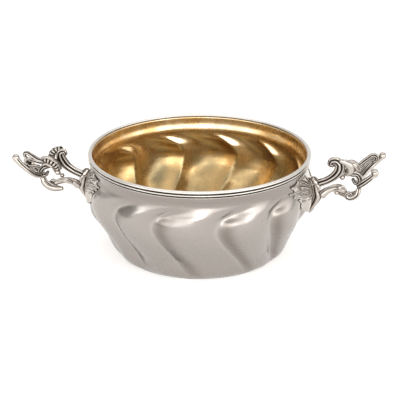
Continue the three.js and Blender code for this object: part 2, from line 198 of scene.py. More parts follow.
print("the fuller lobe stands out", round(fuller(FULL_DEGREES, FULL_Z), 1), "mm further")

# %% [markdown]
# ## From a mesh to a piece of the object
# Each piece is drawn in millimetres and shrunk to metres at the end. The helper welds what
# touches, turns the faces outward, hangs the piece on the body and hides the solid of the
# frame that it stands for. The castings of the left handle are drawn on the right and turned
# half round the axis.

# %% Finishing a piece
WELD = 0.001
HALF_TURN = Matrix.Rotation(math.pi, 3, "Z")


def make_piece(name, bm, materials, node, turned=False):
    """A mesh object from bm, riding on the body and standing for a CAD node."""
    bmesh.ops.remove_doubles(bm, verts=bm.verts, dist=WELD)
    bmesh.ops.recalc_face_normals(bm, faces=bm.faces)
    bmesh.ops.scale(bm, vec=(MM, MM, MM), verts=bm.verts)
    if turned:
        bmesh.ops.rotate(bm, cent=(0, 0, 0), matrix=HALF_TURN, verts=bm.verts)
    for face in bm.faces:
        face.smooth = True
    mesh = bpy.data.meshes.new(name)
    bm.to_mesh(mesh)
    bm.free()
    for material in materials:
        mesh.materials.append(material)
    piece = bpy.data.objects.new(name, mesh)
    bpy.context.scene.collection.objects.link(piece)
    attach(piece, "root")
    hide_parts(node)
    return piece


print("pieces stand for", len(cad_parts), "CAD nodes")

# %% [markdown]
# ## Nodes of a material
# One function adds a node, sets its values and links what comes into it. Colours are written
# as the hex values one would pick from a picture and turned to linear light. A noise of scale
# 100 on Object coordinates, which are metres, has spots about 10 mm across.

# %% Material helpers
def linear(hex_colour):
    """Linear RGBA of an sRGB hex colour."""
    def channel(pair):
        value = int(pair, 16) / 255
        return value / 12.92 if value <= 0.04045 else ((value + 0.055) / 1.055) ** 2.4
    return (channel(hex_colour[1:3]), channel(hex_colour[3:5]), channel(hex_colour[5:7]), 1)


def add(tree, kind, inputs=(), **settings):
    """A node with its settings. Inputs are pairs of a socket and a value or another's output."""
    made = tree.nodes.new(kind)
    for key, value in settings.items():
        setattr(made, key, value)
    for socket, value in dict(inputs).items():
        if isinstance(value, bpy.types.NodeSocket):
            tree.links.new(value, made.inputs[socket])
        else:
            made.inputs[socket].default_value = value
    return made


def new_material(name, metallic=1):
    """A material with its node tree and its shader."""
    material = bpy.data.materials.new(name)
    material.use_nodes = True
    shader = material.node_tree.nodes["Principled BSDF"]
    shader.inputs["Metallic"].default_value = metallic
    return material, material.node_tree, shader


print("middle grey in linear light:", round(linear("#808080")[0], 3))

# %% [markdown]
# ## Burnished sheet silver
# The outside was planished with a polished hammer and then burnished. That leaves shallow
# facets some 17 mm across, which make every reflection swim, and a fine haze from polishing
# cloths. The colour follows an attribute of the sheet: darker on one flank beside each crease,
# as painted shade, lighter along the crease line, as a painted highlight, and darker toward the
# neck. The polishing strokes run round the wall. Real ones are too fine to show, so they are
# drawn about 2 mm apart.

# %% Burnished silver: colour and haze
burnished_silver, tree, shader = new_material("burnished_sheet_silver")
place = add(tree, "ShaderNodeTexCoord").outputs["Object"]
# The tone is painted from the sheet's colour attribute: shade on a crease flank, a highlight on the
# crease line.
bloom = add(tree, "ShaderNodeAttribute", attribute_name="bloom")
tone = add(tree, "ShaderNodeMix", [(0, bloom.outputs["Fac"]), (6, linear("#CAC6C2")),
                                   (7, linear("#847C76"))], data_type="RGBA")
tree.links.new(tone.outputs[2], shader.inputs["Base Color"])
haze = add(tree, "ShaderNodeTexNoise", [("Vector", place), ("Scale", 90), ("Detail", 2)])
rough = add(tree, "ShaderNodeMapRange", [("Value", haze.outputs["Fac"]), ("From Min", 0.3),
                                         ("From Max", 0.7), ("To Min", 0.22), ("To Max", 0.3)])
tree.links.new(rough.outputs[0], shader.inputs["Roughness"])
print("made", burnished_silver.name)

# %% Burnished silver: facets and strokes
facets = add(tree, "ShaderNodeTexNoise", [("Vector", place), ("Scale", 60), ("Detail", 0)])
swim = add(tree, "ShaderNodeBump", [("Strength", 0.12), ("Distance", 0.001),
                                    ("Height", facets.outputs["Fac"])])
squashed = add(tree, "ShaderNodeMapping", [("Vector", place), ("Scale", (14, 14, 420))])
strokes = add(tree, "ShaderNodeTexNoise", [("Vector", squashed.outputs[0]), ("Scale", 1),
                                           ("Detail", 3)])
drawn = add(tree, "ShaderNodeBump", [("Strength", 0.1), ("Distance", 0.0005),
                                     ("Height", strokes.outputs["Fac"]),
                                     ("Normal", swim.outputs[0])])
tree.links.new(drawn.outputs[0], shader.inputs["Normal"])
print("facets and strokes are two bumps, one on the other")

# %% [markdown]
# ## Fire gilding
# The inside was gilded with mercury and gold, then burnished. The gold is a little uneven. It
# is painted pale and bright on the upper wall and duller low down, as painted light and shade.
# Warmer clouds some 20 mm across mottle both, and beside the creases the gold is painted deeper
# as shade.

# %% Fire gilding: colour
fire_gilding, tree, shader = new_material("fire_gilding")
place = add(tree, "ShaderNodeTexCoord").outputs["Object"]
height = add(tree, "ShaderNodeSeparateXYZ", [(0, place)])
# The gold is painted paler high on the wall and darker low down: painted light and shade.
painted_light_by_height = add(tree, "ShaderNodeMapRange", [("Value", height.outputs["Z"]), ("From Min", 0.042),
                                        ("From Max", 0.064)], interpolation_type="SMOOTHSTEP")
ground = add(tree, "ShaderNodeMix", [(0, painted_light_by_height.outputs[0]), (6, linear("#9C8B68")),
                                     (7, linear("#F1E4C8"))], data_type="RGBA")
cloud = add(tree, "ShaderNodeTexNoise", [("Vector", place), ("Scale", 45), ("Detail", 4)])
# The sheet's colour attribute deepens the gold beside each crease as painted shade and pales it
# along the crease line as a painted highlight.
tone_and_crease_light = add(tree, "ShaderNodeAttribute", attribute_name="bloom")
mixed = add(tree, "ShaderNodeMath", [(0, cloud.outputs["Fac"]), (1, tone_and_crease_light.outputs["Fac"])],
            operation="ADD")
tone = add(tree, "ShaderNodeMapRange", [("Value", mixed.outputs[0]), ("From Min", 0.98),
                                        ("From Max", 1.4)])
gold = add(tree, "ShaderNodeMix", [(0, tone.outputs[0]), (6, ground.outputs[2]),
                                   (7, linear("#D8B680"))], data_type="RGBA")
tree.links.new(gold.outputs[2], shader.inputs["Base Color"])
print("made", fire_gilding.name)

# %% Fire gilding: haze and swim
haze = add(tree, "ShaderNodeTexNoise", [("Vector", place), ("Scale", 120), ("Detail", 3)])
rough = add(tree, "ShaderNodeMapRange", [("Value", haze.outputs["Fac"]), ("From Min", 0.3),
                                         ("From Max", 0.7), ("To Min", 0.22), ("To Max", 0.34)])
tree.links.new(rough.outputs[0], shader.inputs["Roughness"])
swim = add(tree, "ShaderNodeBump", [("Strength", 0.3), ("Distance", 0.001),
                                    ("Height", cloud.outputs["Fac"])])
tree.links.new(swim.outputs[0], shader.inputs["Normal"])
print("the clouds also lift the gold a little")

# %% [markdown]
# ## Cast silver with painted shade in its recesses
# The handles were cast in sand and chased. Their recesses are painted dark: painted shade,
# together with the oxide that such hollows keep. The `recess` attribute holds how deep each
# place lies, worked out from the finished shapes further down. The sand leaves a grain of some
# 0.2 mm. It is too fine to show and is drawn 1.4 mm wide. The wire of the rim has the same
# finish, brighter, with painted shade and oxide in its two grooves.

# %% Cast silver and drawn wire
def silver_with_oxide_and_painted_shade(name, bright, dark, low, high, gloss):
    """Silver painted dark, as shade and oxide, where the recess attribute goes from low to high."""
    material, tree, shader = new_material(name)
    place = add(tree, "ShaderNodeTexCoord").outputs["Object"]
    recess = add(tree, "ShaderNodeAttribute", attribute_name="recess")
    grain = add(tree, "ShaderNodeTexNoise", [("Vector", place), ("Scale", 700), ("Detail", 3)])
    uneven = add(tree, "ShaderNodeMath", [(0, grain.outputs["Fac"]), (1, 0.2), (2, -0.1)],
                 operation="MULTIPLY_ADD")
    depth = add(tree, "ShaderNodeMath", [(0, recess.outputs["Fac"]), (1, uneven.outputs[0])],
                operation="ADD")
    # Past low the recess paints the colour toward dark: painted shade, with oxide.
    shade = add(tree, "ShaderNodeMapRange", [("Value", depth.outputs[0]), ("From Min", low),
                                             ("From Max", high)],
                interpolation_type="SMOOTHSTEP")
    tone = add(tree, "ShaderNodeMix", [(0, shade.outputs[0]), (6, linear(bright)),
                                       (7, linear(dark))], data_type="RGBA")
    tree.links.new(tone.outputs[2], shader.inputs["Base Color"])
    rough = add(tree, "ShaderNodeMapRange", [("Value", shade.outputs[0]), ("To Min", gloss),
                                             ("To Max", 0.5)])
    tree.links.new(rough.outputs[0], shader.inputs["Roughness"])
    sand = add(tree, "ShaderNodeBump", [("Strength", 0.12), ("Distance", 0.0002),
                                        ("Height", grain.outputs["Fac"])])
    tree.links.new(sand.outputs[0], shader.inputs["Normal"])
    print("made", name)
    return material


cast_silver = silver_with_oxide_and_painted_shade("oxidised_cast_silver", "#B9B2AB", "#241E1A", 0.12, 0.62, 0.15)
drawn_silver = silver_with_oxide_and_painted_shade("drawn_silver_wire", "#D9D4CE", "#2E2824", 0.2, 0.65, 0.2)

# %% [markdown]
# ## The sheet of the bowl
# A raised bowl is the same section all the way round before the lobes are pushed in. So the
# section is drawn once, spun round the axis, and then each column of points is leaned along
# its crease and let down into it. The columns crowd toward the creases, where the bend is.

# %% Section of the sheet
SHEET_TOP = 82
UNDERNEATH = [(0, 1), (51, 1), (53, 0)]
FLOOR = [(67.2, 3), (64.6, 1.7), (61, 1.25), (52, 1.3), (49, 2.2), (0, 2.2)]


def drawn_line(bm, places):
    """A line of points through (radius, height) places, extruded from one to the next."""
    line = [bm.verts.new((places[0][0], 0, places[0][1]))]
    for radius, z in places[1:]:
        line.append(bmesh.ops.extrude_vert_indiv(bm, verts=[line[-1]])["verts"][0])
        line[-1].co = (radius, 0, z)
    return line


def wall_places(low, high, count, thickness):
    """Places up the wall, on its outer face or set in by a thickness."""
    places = []
    for k in range(count + 1):
        z = low + (high - low) * k / count
        lean = along(WALL_CREST, z + 0.5) - along(WALL_CREST, z - 0.5)
        places.append((along(WALL_CREST, z) - thickness * math.hypot(1, lean), z))
    return places


bowl = bmesh.new()
outer_wall = wall_places(0, SHEET_TOP, 66, 0)
inner_wall = wall_places(5, SHEET_TOP, 62, WALL)
section = drawn_line(bowl, UNDERNEATH + outer_wall + inner_wall[::-1] + FLOOR)
print("section of the sheet has", len(section), "points")

# %% Spin the section
COLUMNS = 288
FULL_SPIN = {"cent": (0, 0, 0), "axis": (0, 0, 1), "dvec": (0, 0, 0), "angle": math.tau,
             "use_merge": True}
bmesh.ops.spin(bowl, geom=bowl.verts[:] + bowl.edges[:], steps=COLUMNS, **FULL_SPIN)
bmesh.ops.remove_doubles(bowl, verts=bowl.verts, dist=WELD)
print("spun sheet has", len(bowl.faces), "faces")

# %% Push the lobes in
# The colour attribute is painted darkest on one flank beside each crease, as painted shade,
# and lighter along the crease line itself, as a painted highlight.
CROWDING = 0.6
SHEET_TONE, NECK_DARKENING, FLANK_PAINTED_SHADE, CREASE_PAINTED_HIGHLIGHT = 0.62, 0.2, 0.36, 0.14
tone_and_light_layer = bowl.verts.layers.float.new("bloom")
for point in bowl.verts:
    x, y, z = point.co
    radius = math.hypot(x, y)
    if radius < 1:
        continue
    lobe, share = divmod(math.degrees(math.atan2(y, x)) * LOBES / 360, 1)
    share -= CROWDING * math.sin(math.tau * share) / math.tau
    degrees = crease_angle(z) + (lobe + share) * 360 / LOBES
    degrees += stray(int(lobe), z) * (1 - share) + stray(int(lobe) + 1, z) * share
    from_crease = 1 - abs(2 * share - 1)
    pushed = hammer_wave(degrees, z) + fuller(degrees % 360, z) - wall_dip(z, from_crease)
    radius += pushed * smooth_step(20, 60, radius)
    point.co = Matrix.Rotation(math.radians(degrees), 3, "Z") @ Vector((radius, 0, z))
    # flank is painted shade on one side of each crease; line is a painted highlight along the
    # crease.
    flank = math.exp(-(((share - 0.15) / 0.12) ** 2))
    line = math.exp(-(((1 - share) / 0.05) ** 2)) + math.exp(-((share / 0.02) ** 2))
    # The sheet's colour is also drawn darker toward the neck, from 62 mm up.
    point[tone_and_light_layer] = (SHEET_TONE + NECK_DARKENING * smooth_step(62, 70, z)
                          + lobe_depth(z) / LOBE_DEPTH * (FLANK_PAINTED_SHADE * flank - CREASE_PAINTED_HIGHLIGHT * line))
print("wall pushed in", LOBES, "times")

# %% Gild the inside
bmesh.ops.recalc_face_normals(bowl, faces=bowl.faces)
for face in bowl.faces:
    middle = face.calc_center_median()
    outward = Vector((middle.x, middle.y, 0)).normalized()
    on_inner_wall = face.normal.dot(outward) < -0.05
    on_floor = face.normal.z > 0.5 and middle.z < 10
    face.material_index = 1 if on_inner_wall or on_floor else 0
sheet = make_piece("raised_sheet", bowl, [burnished_silver, fire_gilding], "bowl_body")
print("raised sheet:", len(sheet.data.polygons), "faces")

# %% [markdown]
# ## The rim wire
# The edge is stiffened with a drawn moulding that is bent round and soldered over the sheet:
# a rounded lip, a groove, a thin bead, a second groove and a fillet. Spinning its section
# and letting a subdivision surface round it gives the soft shoulders of drawn wire.

# %% Rim wire
RIM_SECTION = [(88.05, 77.9), (88.05, 82.3), (86.6, 82.3), (86.5, 83.0), (87.2, 83.65),
               (88.4, 83.8), (89.5, 83.5), (90, 82.8), (89.9, 82.1), (89.4, 81.8),
               (88.7, 81.7), (88.5, 81.3), (88.7, 80.9), (89.5, 80.8), (89.9, 80.6),
               (90, 80.2), (89.9, 79.8), (89.5, 79.6), (88.7, 79.5), (88.5, 79.0),
               (88.7, 78.6), (89.4, 78.5), (89.6, 78.2), (89.2, 77.9)]
GROOVE_RADIUS, GROOVES_LOW, GROOVES_HIGH = 88.95, 78.5, 81.8
rim = bmesh.new()
wire = drawn_line(rim, RIM_SECTION)
rim.edges.new((wire[-1], wire[0]))
bmesh.ops.spin(rim, geom=rim.verts[:] + rim.edges[:], steps=180, **FULL_SPIN)
groove_layer = rim.verts.layers.float.new("recess")
# The two grooves are marked as recess, so the wire's colour is painted dark there: painted shade and
# oxide.
for point in rim.verts:
    deep = math.hypot(point.co.x, point.co.y) < GROOVE_RADIUS
    point[groove_layer] = 1 if deep and GROOVES_LOW < point.co.z < GROOVES_HIGH else 0
rim_wire = make_piece("rim_wire", rim, [drawn_silver], "rim_moulding")
rounding = rim_wire.modifiers.new("subsurf", "SUBSURF")
rounding.levels = rounding.render_levels = 1
print("rim wire:", len(rim_wire.data.polygons), "faces before rounding")

# %% [markdown]
# ## Swept and chased stems
# Every arm, leaf and curl of the handle is a tapering stem that follows a bent path. The wax
# for such a casting is rolled, flattened, grooved with a tool and bent. The helper does the
# same: it lays a ring of points, extrudes it from station to station, presses grooves into
# it lengthwise and ribs across it, and closes both ends in a rounded tip.

# %% Stations on a path
LOOK_AHEAD = 0.004


def station(path, t):
    """Point and direction at t, 0 to 1, of a smooth path through points."""
    knots = [0]
    for first, second in zip(path, path[1:]):
        knots.append(knots[-1] + math.dist(first, second) ** 0.5)

    def at(s):
        return Vector([along([(knot, point[axis]) for knot, point in zip(knots, path)],
                             s * knots[-1]) for axis in range(3)])

    ahead, behind = at(min(t + LOOK_AHEAD, 1)), at(max(t - LOOK_AHEAD, 0))
    return at(t), (ahead - behind).normalized()


print("half way along a bent path:", station([(0, 0, 0), (4, 0, 1), (8, 0, 0)], 0.5)[0])

# %% The stem helper
# A groove is given by its place round the stem and its width, both in radians, and its depth
# as a share of the stem. TIP pairs how far a ring lies out with how large it still is. Ribs
# cross the stem, and sided keeps them off the side that face points away from.
TIP = [(1, 0), (0.95, 0.35), (0.75, 0.68), (0.4, 0.92)]


def stem(bm, path, wide, deep, face=(0, 1, 0), rings=48, around=20, grooves=(), ribs=0, rib=0.2,
         beside=(0, 0), blunt=0.8, sided=False):
    """A closed stem. Wide is half its size along face, deep half its size across it."""
    cut_layer = bm.verts.layers.float.get("recess") or bm.verts.layers.float.new("recess")
    face = Vector(face)
    stations = [(0, -reach, share) for reach, share in TIP]
    stations += [(k / rings, 0, 1) for k in range(rings + 1)]
    stations += [(1, reach, share) for reach, share in reversed(TIP)]
    ring = bmesh.ops.create_circle(bm, cap_ends=False, segments=around, radius=1)["verts"]
    for count, (t, reach, share) in enumerate(stations):
        if count:
            edges = [bm.edges.get(pair) for pair in zip(ring, ring[1:] + ring[:1])]
            grown = bmesh.ops.extrude_edge_only(bm, edges=edges)["geom"]
            ring = [item for item in grown if isinstance(item, bmesh.types.BMVert)]
        centre, forward = station(path, t)
        across = (face - forward * face.dot(forward)).normalized()
        over = forward.cross(across)
        a, b = graded(wide, t), graded(deep, t)
        centre = (centre + forward * reach * min(a, b) * blunt
                  + across * beside[0] + over * beside[1])
        crossing = abs(math.sin(math.pi * ribs * t)) ** 0.8 if ribs else 1
        for k, point in enumerate(ring):
            turn = math.tau * k / around
            cuts = [(depth, math.exp(-((math.remainder(turn - where, math.tau) / width) ** 2)))
                    for where, width, depth in grooves]
            press = 1 - sum(depth * cut for depth, cut in cuts)
            across_rib = (1 - crossing) * (smooth_step(-0.7, 0.2, math.cos(turn)) if sided else 1)
            press *= 1 - rib * across_rib
            # Grooves and the cuts between ribs are marked as recess, which the material paints dark:
            # painted shade.
            point[cut_layer] = max([cut * min(1, depth * 3) for depth, cut in cuts]
                                   + [across_rib * min(1, rib * 3)])
            point.co = (centre + across * (a * share * press * math.cos(turn))
                        + over * (b * share * press * math.sin(turn)))


print("a stem has", len(TIP), "rings in each tip")

# %% Beads, and a casting for each side
castings = []


def ball(bm, place, radius, dark=0):
    """A rounded bead of the casting. With dark at 1 it is painted black all over, as painted shade
    at the bottom of a pit.
    """
    grown = bmesh.ops.create_icosphere(bm, subdivisions=3, radius=radius,
                                       matrix=Matrix.Translation(place))
    for point in grown["verts"]:
        point[bm.verts.layers.float["recess"]] = dark


def both_sides(name, draw):
    """One casting for each handle. Each stands for the CAD node of the same name."""
    for side in ("right", "left"):
        bm = bmesh.new()
        draw(bm, side)
        piece = make_piece(f"{name}_{side}", bm, [cast_silver], f"{name}_{side}",
                           turned=side == "left")
        castings.append(piece)
    print(name, "has", len(piece.data.polygons), "faces")


print("ready to cast")

# %% [markdown]
# ## The leaf plates
# A cast leaf is soldered to the wall under each handle. It spreads in scalloped blades and
# hangs down in a smooth shield. A grid is laid on the wall within the leaf's outline, and its
# edge lies close to the wall, so that no gap shows. The blades are grooved stems on top of it.

# %% Leaf plates
PLATE_LOW, PLATE_RISE, PLATE_THICKNESS = 37, 38.5, 0.5
EDGE_LIFT, MIDDLE_LIFT, BORDER_LIFT = 0.2, 0.5, 0.15
PLATE_OUTLINE = [(37, 5), (41, 11), (45, 15.5), (50, 19), (56, 23), (61, 27), (65, 29), (69, 28),
                 (72, 25), (75.5, 19)]
LEAF_BLADES = [[(5, 62), (9, 68), (12, 72.5), (16, 74.6)],
               [(6, 61), (12, 67), (17, 71), (22.5, 73)],
               [(7, 59), (14, 64.5), (21, 68.5), (28, 70.4)],
               [(7, 57.5), (15, 61.5), (22, 64), (30, 66)],
               [(7, 56), (14, 58.5), (21, 60), (27.5, 62.4)],
               [(7, 54.5), (13, 56), (18, 56.5), (24, 58.6)],
               [(6, 53), (11, 53), (15, 52.6), (19.5, 54)]]


def on_wall(degrees, z, lift):
    """A place on the wall under a plate, lifted off it. Under the foot the plate bridges creases."""
    dip = wall_dip(z, crease_share(z, degrees)) * smooth_step(10, 20, abs(degrees))
    radius = along(WALL_CREST, z) - dip + lift
    return Matrix.Rotation(math.radians(degrees), 3, "Z") @ Vector((radius, 0, z))


def draw_leaf_plate(bm, side):
    """A shield that follows the wall, with a fan of veined blades on each half."""
    bmesh.ops.create_grid(bm, x_segments=110, y_segments=72, size=1)
    for point in bm.verts:
        across, rise = point.co.x, (point.co.y + 1) / 2
        z = PLATE_LOW + PLATE_RISE * rise
        wavy = abs(math.sin(rise * math.pi * 6)) ** 0.7 * smooth_step(0.25, 0.4, rise)
        degrees = across * along(PLATE_OUTLINE, z) * (1 - 0.1 * wavy)
        edge = (smooth_step(1, 0.86, abs(across)) * smooth_step(0, 0.06, rise)
                * smooth_step(1, 0.97, rise))
        border = math.exp(-(((abs(across) - 0.8) / 0.12) ** 2)) * smooth_step(50, 44, z)
        swell = fuller(180 + degrees, z) if side == "left" else 0
        lift = EDGE_LIFT + edge * MIDDLE_LIFT + BORDER_LIFT * border + swell
        point.co = on_wall(degrees, z, lift)
    bmesh.ops.recalc_face_normals(bm, faces=bm.faces)
    bmesh.ops.solidify(bm, geom=bm.faces[:], thickness=PLATE_THICKNESS)
    for hand in (-1, 1):
        outward = Matrix.Rotation(math.radians(hand * 18), 3, "Z") @ Vector((1, 0, 0))
        for blade in LEAF_BLADES:
            path = [on_wall(hand * degrees, z, 1.3 - 0.2 * k)
                    for k, (degrees, z) in enumerate(blade)]
            stem(bm, path, [0.6, 0.7, 0.6, 0.5], [1, 1.6, 1.5, 0.8], face=outward, rings=30,
                 around=24, grooves=[(0, 0.24, 0.25), (math.pi, 0.24, 0.25)])
            ball(bm, path[-1], 0.85)


both_sides("leaf_plate", draw_leaf_plate)

# %% [markdown]
# ## The foot of the handle
# The casting stands on a fluted tongue that hangs in front of the plate. It is a short thick
# stem, flat at its back, with a bold middle rib and hollows beside it. A small curl grows out
# of it on each side, where the arms begin.

# %% Handle foot
FRONT = -math.pi / 2
FOOT_LEVELS = [(34.6, 91, 1.4), (37, 92.8, 3), (41, 95, 4.4), (45, 97.8, 5.2), (49, 99.6, 5.4),
               (53, 98, 5), (57, 97.6, 4.4), (60.5, 97, 3.6), (63, 94.6, 2.2)]
FOOT_FLUTES = [(FRONT - 0.62, 0.24, 0.22), (FRONT + 0.62, 0.24, 0.22), (0.4, 0.25, 0.22),
               (math.pi - 0.4, 0.25, 0.22)]


def draw_foot(bm, side):
    """A tongue from the wall out to each level's reach, as wide as the level says."""
    path = [((along(WALL_CREST, z) + out) / 2, 0, z) for z, out, half in FOOT_LEVELS]
    depths = [(out - along(WALL_CREST, z)) / 2 for z, out, half in FOOT_LEVELS]
    stem(bm, path, [half for z, out, half in FOOT_LEVELS], depths, rings=56, around=36,
         grooves=FOOT_FLUTES)
    for hand in (-1, 1):
        curl = [(92.4, hand * 2.4, 59.4), (95.4, hand * 3.8, 59), (97, hand * 3.8, 56.4),
                (96, hand * 3.4, 54)]
        stem(bm, curl, [1.1, 1.4, 1.4, 1], [1, 1.3, 1.3, 1], rings=30, around=16)


both_sides("handle_foot", draw_foot)

# %% [markdown]
# ## The two arms
# The upper arm leaves the foot like a branch and rolls back on itself in a volute, which was
# bent tighter on the left handle. The lower arm is plainer and ends in a leaf and two beads
# below the crest. The upper arm has channels beside a middle ridge, cut so that their edges
# catch the light as lines.

# %% Upper and lower arm
UPPER_ARM = [(97, -0.2, 59.6), (103.4, -0.5, 62.4), (109, -0.6, 66.4), (112.4, -0.3, 71.2),
             (112.7, 0.2, 75.8), (110, 0.8, 78.6), (106.4, 1, 78.2), (105.4, 1.2, 75.8),
             (107.2, 1.4, 74.8)]
TIGHT_ARM = UPPER_ARM[:4] + [(113.6, 0.2, 75), (113.2, 0.8, 77.8), (110.8, 1, 78.9),
                             (109.6, 1.2, 77.2)]
ARM_LEAF = [(104.6, 3, 53.6), (109, 4.2, 55.6), (113.6, 4.8, 55.8), (117.6, 5, 54.4)]
LOWER_ARM = [(99.4, -0.6, 49.6), (103, 0.6, 52.6), (107.4, 1.8, 54.2), (112, 2.8, 54.4),
             (117.8, 2.7, 52.2)]
CHANNELS = [(ridge + turn, 0.24, 0.34) for ridge in (0, math.pi) for turn in (-0.5, 0.5)]


def draw_upper_arm(bm, side):
    """A branch that rolls back in a volute."""
    stem(bm, UPPER_ARM if side == "right" else TIGHT_ARM, [3, 2.9, 2.9, 3.1, 3.3, 3.2, 2.9, 2.4],
         [3.4, 3.3, 3.6, 4.1, 4.1, 3.5, 2.8, 2.2], rings=110, around=52, grooves=CHANNELS)


def draw_lower_arm(bm, side):
    """A plainer branch with a leaf along it and two beads at its end."""
    stem(bm, LOWER_ARM, [3.1, 2.8, 2.5, 2.4, 2.1], [3.7, 3.2, 2.8, 2.6, 2.1], rings=60, around=40,
         grooves=[(0.7, 0.2, 0.14), (math.pi - 0.7, 0.2, 0.14), (math.pi + 0.6, 0.2, 0.1)])
    stem(bm, ARM_LEAF, [1.8, 2, 1.6, 0.8], [1.7, 1.9, 1.5, 0.8], rings=40, around=28,
         grooves=[(0.3, 0.3, 0.2)])
    ball(bm, (113.4, -2.2, 57), 2.1)
    ball(bm, (111, -2, 52.3), 1.9)


both_sides("upper_arm", draw_upper_arm)
both_sides("lower_arm", draw_lower_arm)

# %% [markdown]
# ## The shell crest
# Two ribbed bands stand behind the volute like halves of a shell. Each rib is a small tongue
# with a cut on either side that is painted dark as shade, and a smooth roll borders the front
# band on both its edges.
# On the left handle the front band opens wider.

# %% Crest bands
CREST_FRONT = [(126.6, 8, 69), (125, 8, 72.4), (121.6, 7.4, 73.8), (117.4, 6.4, 71.2),
               (115, 5.4, 66.4)]
WIDE_CREST = [(128, 8.4, 72), (125, 8, 73.6), (120.8, 7.4, 72.6), (117, 6.4, 69.4),
              (115.2, 5.6, 65)]
CREST_BACK = [(113.6, -2.6, 80.2), (118, -2.6, 78.6), (121, -2.4, 75.4), (121.4, -1.8, 71.4),
              (119.2, -0.6, 68.2)]
SHELL_RIBS = {"rings": 128, "around": 28, "ribs": 7, "rib": 0.36, "sided": True}


def draw_crest_front(bm, side):
    """A ribbed band between two smooth rolls, with a bead at its root."""
    band = CREST_FRONT if side == "right" else WIDE_CREST
    stem(bm, band, [2.6, 3.2, 3.8, 3.8, 3], [2.2, 2.8, 3.1, 2.9, 2.3], **SHELL_RIBS)
    stem(bm, band, [2.8, 3.5, 4.1, 4.1, 3.3], [1.2, 1.4, 1.5, 1.5, 1.3], rings=60, around=20,
         beside=(0, 2.5))
    stem(bm, band, [1.8, 2.6, 3.2, 3.2, 2.4], [0.8, 0.9, 1, 1, 0.8], rings=60, around=20,
         beside=(0, -2.7))
    ball(bm, (115.2, 6.4, 62.8), 2.5)


def draw_crest_back(bm, side):
    """The ribbed band behind it."""
    stem(bm, CREST_BACK, [2.2, 2.7, 3, 2.8, 2.2], [2.1, 2.9, 3.2, 3.2, 2.4], **SHELL_RIBS)


both_sides("crest_front", draw_crest_front)
both_sides("crest_back", draw_crest_back)

# %% [markdown]
# ## The grip
# Beyond the crest the casting forks. A long leaf with a rolled tip and an upper leaf with a
# curled tip make the grip, a straight stem with a bud lies under them, and a ribbed leaf
# folds back toward the bowl. The castings were bent and chased one by one: on the left the
# veins of the grip are short and the upper leaf hooks over a bead painted black as the shade of a
# pit.

# %% Fork and grip leaf
FORK = [(119.4, 1.6, 68), (122.8, 2.8, 67.2), (126.8, 4.6, 66.4), (129, 5, 63.2),
        (128.4, 3.8, 59.8), (125.6, 3.6, 59.6), (123.8, 4.6, 62)]
GRIP = [(129.4, 9.6, 60.6), (132.8, 13.4, 63.2), (137, 16.4, 67.4), (142, 17.9, 72.4),
        (146.8, 17.8, 77.8)]
LONG_VEINS = [[(127.2, 9.4, 63.8), (131.4, 12.7, 67.2), (135.8, 15.2, 71.8), (141, 16.6, 77.2)],
              [(127.2, 9.4, 67.6), (131, 12, 71), (134.6, 13.7, 74.8), (139, 14.6, 79)]]
SHORT_VEINS = [[(128.9, 11.6, 73), (131.8, 13, 74.6), (134.6, 13.6, 75.5), (137.4, 13.6, 75.2)],
               [(129.2, 12.4, 69.6), (132.1, 13.8, 70.6), (135, 14.3, 70.4), (137.6, 14.2, 71),
                (138.4, 13.8, 72.6)]]


def draw_fork(bm, side):
    """A channelled scroll that joins the arms to the grip."""
    stem(bm, FORK, [2.2, 2.8, 3.4, 3.6, 3.2, 2.6, 2], [2.1, 2.3, 2.5, 2.6, 2.3, 1.9, 1.5],
         rings=80, around=36, grooves=CHANNELS)


def draw_grip(bm, side):
    """The long leaf, two veins that stand up from it, and its rolled tip."""
    stem(bm, GRIP, [2.4, 3, 3, 2.9, 2.8], [2.1, 2.3, 2.2, 2.3, 2.6], rings=70, around=40,
         grooves=[(0.75, 0.2, 0.3), (math.pi - 0.75, 0.24, 0.34)])
    for vein in LONG_VEINS if side == "right" else SHORT_VEINS:
        stem(bm, vein, [2, 2.2, 2, 1.6], [1.2, 1.4, 1.4, 1], rings=44, around=28,
             grooves=[(0, 0.35, 0.34), (math.pi, 0.35, 0.34)])
    ball(bm, (146.9, 17.2, 78.3), 3.2)


both_sides("fork_scroll", draw_fork)
both_sides("grip_leaf", draw_grip)

# %% Upper leaf
UPPER_LEAF = [(127.6, 9.6, 71.4), (130.8, 11.2, 74), (135, 12, 77.4), (139, 12.5, 80.2),
              (141.8, 12.8, 79.2), (141.6, 12.8, 76.4), (139.6, 12.6, 75)]
HOOKED_LEAF = [(127.4, 10.4, 74), (130.7, 11.6, 75.6), (133.5, 12.2, 77.8), (136.2, 12.6, 79.8),
               (138.2, 12.9, 81.3), (140.1, 13, 81), (140.5, 13, 79), (139.3, 13, 77.2)]


def draw_upper_leaf(bm, side):
    """A leaf with a curled tip, or on the left one that hooks over two beads, the first painted
    black as a pit's shade.
    """
    if side == "right":
        stem(bm, UPPER_LEAF, [2.5, 3.1, 3.1, 2.9, 2.6, 2.2], [1.8, 2.1, 2.1, 2, 1.9, 1.7],
             rings=80, around=40, grooves=[(0, 0.3, 0.2), (math.pi - 0.5, 0.26, 0.36),
                                           (math.pi + 0.5, 0.26, 0.36)])
    else:
        stem(bm, HOOKED_LEAF, [2.5, 3, 2.9, 2.7, 2.5, 2.2, 1.8],
             [1.9, 1.9, 1.8, 1.6, 1.5, 1.5, 1.3], rings=80, around=40,
             grooves=[(0.85, 0.3, 0.35), (-0.7, 0.25, 0.3)])
        # This bead is painted black all over: painted shade where a pit would be.
        ball(bm, (137.2, 12.8, 73.4), 2, dark=1)
        ball(bm, (134, 13.8, 73), 1.5)


both_sides("upper_leaf", draw_upper_leaf)

